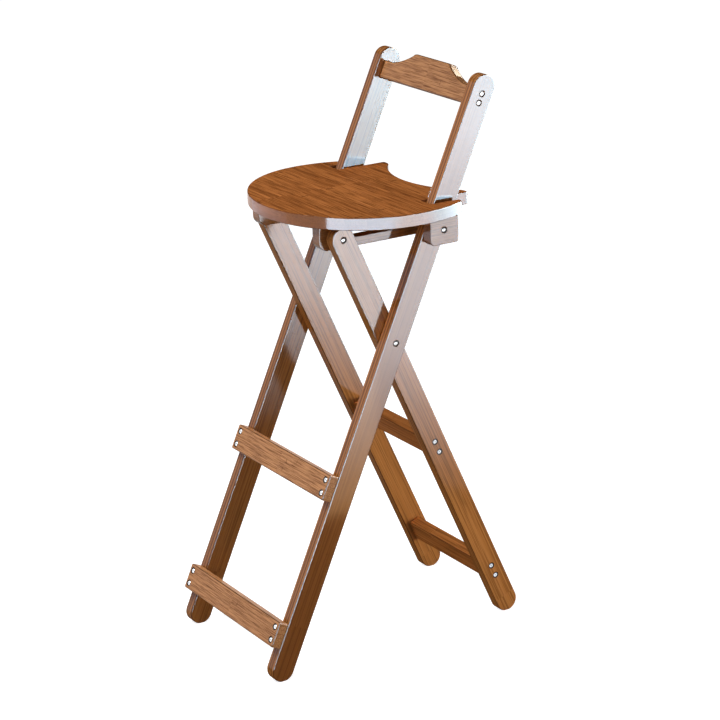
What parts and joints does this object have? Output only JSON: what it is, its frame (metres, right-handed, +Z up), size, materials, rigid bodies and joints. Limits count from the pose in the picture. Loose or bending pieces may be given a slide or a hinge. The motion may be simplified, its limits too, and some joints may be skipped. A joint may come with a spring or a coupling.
{
  "type": "folding bar stool",
  "caption": "Folding bar stool with a low backrest: crossed wooden legs, a round seat slotted for the posts, two footrests, and a seat that folds down flat in front of the closed legs.",
  "frame": {"origin": "on the floor, at the middle of the open stool's outline seen from above", "axes": "+Z up, the front of the seat faces -Y, and the sitter's left is +X"},
  "size_m": [0.354, 0.4616, 0.8801],
  "materials": {
    "bamboo": "brown carbonised laminated bamboo under satin lacquer",
    "seat_bamboo": "brown carbonised laminated bamboo, flat-grain strips under satin lacquer",
    "zinc_steel": "bright zinc-plated steel"
  },
  "bodies": {
    "side_frame": {"side_board_left": "bamboo", "side_board_right": "bamboo", "backrest_rail": "bamboo", "upper_footrest": "bamboo", "lower_footrest": "bamboo", "leg_bolt_left": "zinc_steel", "leg_bolt_right": "zinc_steel", "leg_washer_left": "zinc_steel", "leg_washer_right": "zinc_steel", "seat_bolt_left": "zinc_steel", "seat_bolt_right": "zinc_steel", "seat_insert_nut_left": "zinc_steel", "seat_insert_nut_right": "zinc_steel", "seat_washer_left": "zinc_steel", "seat_washer_right": "zinc_steel", "upper_footrest_screw_left_top": "zinc_steel", "upper_footrest_screw_left_bottom": "zinc_steel", "upper_footrest_screw_right_top": "zinc_steel", "upper_footrest_screw_right_bottom": "zinc_steel", "lower_footrest_screw_left_top": "zinc_steel", "lower_footrest_screw_left_bottom": "zinc_steel", "lower_footrest_screw_right_top": "zinc_steel", "lower_footrest_screw_right_bottom": "zinc_steel", "rail_screw_left_top": "zinc_steel", "rail_screw_left_bottom": "zinc_steel", "rail_screw_right_top": "zinc_steel", "rail_screw_right_bottom": "zinc_steel"},
    "seat": {"seat_board": "seat_bamboo", "seat_cleat_left": "bamboo", "seat_cleat_right": "bamboo", "pivot_bracket_left": "bamboo", "pivot_bracket_right": "bamboo", "cleat_screw_left_front": "zinc_steel", "cleat_screw_left_rear": "zinc_steel", "cleat_screw_right_front": "zinc_steel", "cleat_screw_right_rear": "zinc_steel", "bracket_screw_left_front": "zinc_steel", "bracket_screw_left_rear": "zinc_steel", "bracket_screw_right_front": "zinc_steel", "bracket_screw_right_rear": "zinc_steel"},
    "slot_pins": {"slot_bolt_left": "zinc_steel", "slot_bolt_right": "zinc_steel", "slot_bush_left": "zinc_steel", "slot_bush_right": "zinc_steel", "slot_nut_left": "zinc_steel", "slot_nut_right": "zinc_steel"},
    "rear_frame": {"short_leg_left": "bamboo", "short_leg_right": "bamboo", "upper_stretcher": "bamboo", "lower_stretcher": "bamboo", "leg_sleeve_nut_left": "zinc_steel", "leg_sleeve_nut_right": "zinc_steel", "upper_stretcher_screw_left_top": "zinc_steel", "upper_stretcher_screw_left_bottom": "zinc_steel", "upper_stretcher_screw_right_top": "zinc_steel", "upper_stretcher_screw_right_bottom": "zinc_steel", "lower_stretcher_screw_left_top": "zinc_steel", "lower_stretcher_screw_left_bottom": "zinc_steel", "lower_stretcher_screw_right_top": "zinc_steel", "lower_stretcher_screw_right_bottom": "zinc_steel"}
  },
  "joints": [
    {"name": "seat_fold", "type": "hinge", "parent": "side_frame", "child": "seat", "pos_m": [0, 0.07457, 0.662], "axis": [1, 0, 0], "range_deg": [0, 66]},
    {"name": "pin_slide", "type": "slide", "parent": "seat", "child": "slot_pins", "axis": [0, 1, 0], "range_m": [0, 0.1489]},
    {"name": "rear_fold", "type": "hinge", "parent": "slot_pins", "child": "rear_frame", "pos_m": [0, -0.0743, 0.662], "axis": [1, 0, 0], "range_deg": [-114, 0]}
  ],
  "couplings": [
    {"joint": "pin_slide", "follows": "seat_fold", "m_per_rad": 0.12923},
    {"joint": "rear_fold", "follows": "seat_fold", "ratio": -1.7272}
  ]
}
